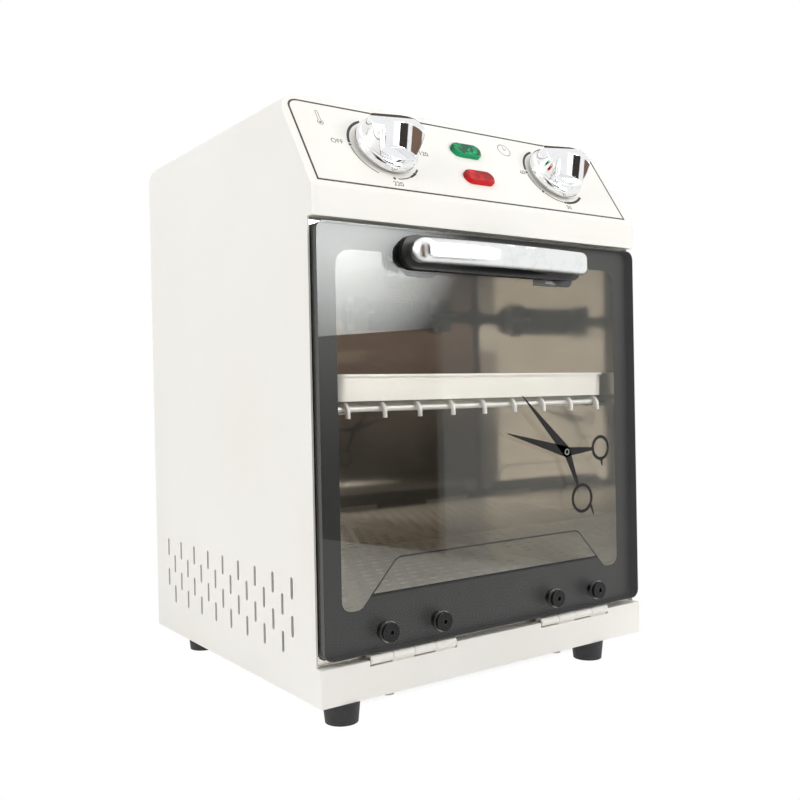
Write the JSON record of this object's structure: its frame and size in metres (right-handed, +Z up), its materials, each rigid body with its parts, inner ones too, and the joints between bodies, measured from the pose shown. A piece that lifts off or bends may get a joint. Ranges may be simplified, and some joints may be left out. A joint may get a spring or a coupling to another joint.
{
  "type": "dry heat sterilizer",
  "caption": "Tabletop hot-air sterilizing cabinet with a drop-down glass door, a mirror chamber with rack and tray, and dials on a slanted panel.",
  "frame": {"origin": "on the surface that the feet stand on, under the middle of the whole object", "axes": "+X to the right as seen from the front, +Y to the back, +Z up; the door is on the -Y side"},
  "size_m": [0.223, 0.2452, 0.31],
  "materials": {
    "case_coat": "smooth cream powder coat",
    "back_coat": "smooth cream powder coat",
    "hinge_coat": "cream paint",
    "plated_sheet": "zinc plated",
    "mirror_steel": "mirror polished",
    "polished_floor": "polished, perforated",
    "tray_steel": "polished",
    "rack_chrome": "bright plated wire",
    "heater_sheath": "heat darkened",
    "brass_fitting": "plain",
    "mineral_wool": "loose fibre",
    "switch_case": "moulded",
    "shaft_steel": "turned",
    "bulb_copper": "drawn copper",
    "knob_chrome": "bright plated",
    "handle_chrome": "bright plated",
    "handle_backing": "satin black",
    "green_glow": "clear tinted lens",
    "red_glow": "clear tinted lens",
    "lamp_plastic": "moulded",
    "gland_plastic": "moulded",
    "seal_rubber": "silicone strip",
    "foot_rubber": "moulded",
    "zinc_screw": "zinc plated",
    "dark_screw": "blackened",
    "door_pane": "clear toughened pane, printed border"
  },
  "bodies": {
    "case": {"outer_wrap": "case_coat", "front_panel": "case_coat", "sill": "case_coat", "back_panel": "back_coat", "hinge_body_leaves": "hinge_coat", "base_plate": "plated_sheet", "magnet_catches": "plated_sheet", "heater_saddles": "plated_sheet", "bulb_clips": "plated_sheet", "chamber_liner": "mirror_steel", "rack_ledges": "mirror_steel", "floor_plate": "polished_floor", "heater_tube": "heater_sheath", "heater_fittings": "brass_fitting", "thermostat_nut": "brass_fitting", "timer_nut": "brass_fitting", "insulation_top": "mineral_wool", "insulation_sides": "mineral_wool", "insulation_back": "mineral_wool", "thermostat_body": "switch_case", "timer_body": "switch_case", "thermal_cutout": "switch_case", "hinge_pins": "shaft_steel", "thermostat_bulb": "bulb_copper", "green_lens": "green_glow", "red_lens": "red_glow", "lamp_holders": "lamp_plastic", "terminal_block": "lamp_plastic", "cord_gland": "gland_plastic", "gland_nut": "gland_plastic", "door_seal": "seal_rubber", "foot_front_left": "foot_rubber", "foot_front_right": "foot_rubber", "foot_back_left": "foot_rubber", "foot_back_right": "foot_rubber", "foot_screws": "zinc_screw", "case_screws": "zinc_screw", "back_panel_screws": "zinc_screw"},
    "door": {"door_glass": "door_pane", "handle": "handle_chrome", "handle_pad": "handle_backing", "handle_screws": "zinc_screw", "strike_plates": "plated_sheet", "hinge_door_leaves": "hinge_coat", "door_screws": "dark_screw", "door_washers": "dark_screw"},
    "temperature_dial": {"temperature_knob": "knob_chrome", "thermostat_shaft": "shaft_steel"},
    "timer_dial": {"timer_knob": "knob_chrome", "timer_shaft": "shaft_steel"},
    "rack": {"wire_rack": "rack_chrome"},
    "tray": {"instrument_tray": "tray_steel"}
  },
  "joints": [
    {"name": "door_hinge", "type": "hinge", "parent": "case", "child": "door", "pos_m": [0, -0.103, 0.0287], "axis": [1, 0, 0], "range_deg": [0, 90]},
    {"name": "temperature_turn", "type": "hinge", "parent": "case", "child": "temperature_dial", "pos_m": [-0.0585, -0.08782, 0.2834], "axis": [0, 0.8381, -0.5455], "range_deg": [0, 270]},
    {"name": "timer_turn", "type": "hinge", "parent": "case", "child": "timer_dial", "pos_m": [0.0615, -0.08782, 0.2834], "axis": [0, 0.8381, -0.5455], "range_deg": [0, 300]},
    {"name": "rack_slide", "type": "slide", "parent": "case", "child": "rack", "axis": [0, -1, 0], "range_m": [0, 0.0035]},
    {"name": "tray_lift", "type": "slide", "parent": "rack", "child": "tray", "axis": [0, 0, 1], "range_m": [0, 0.04]}
  ]
}
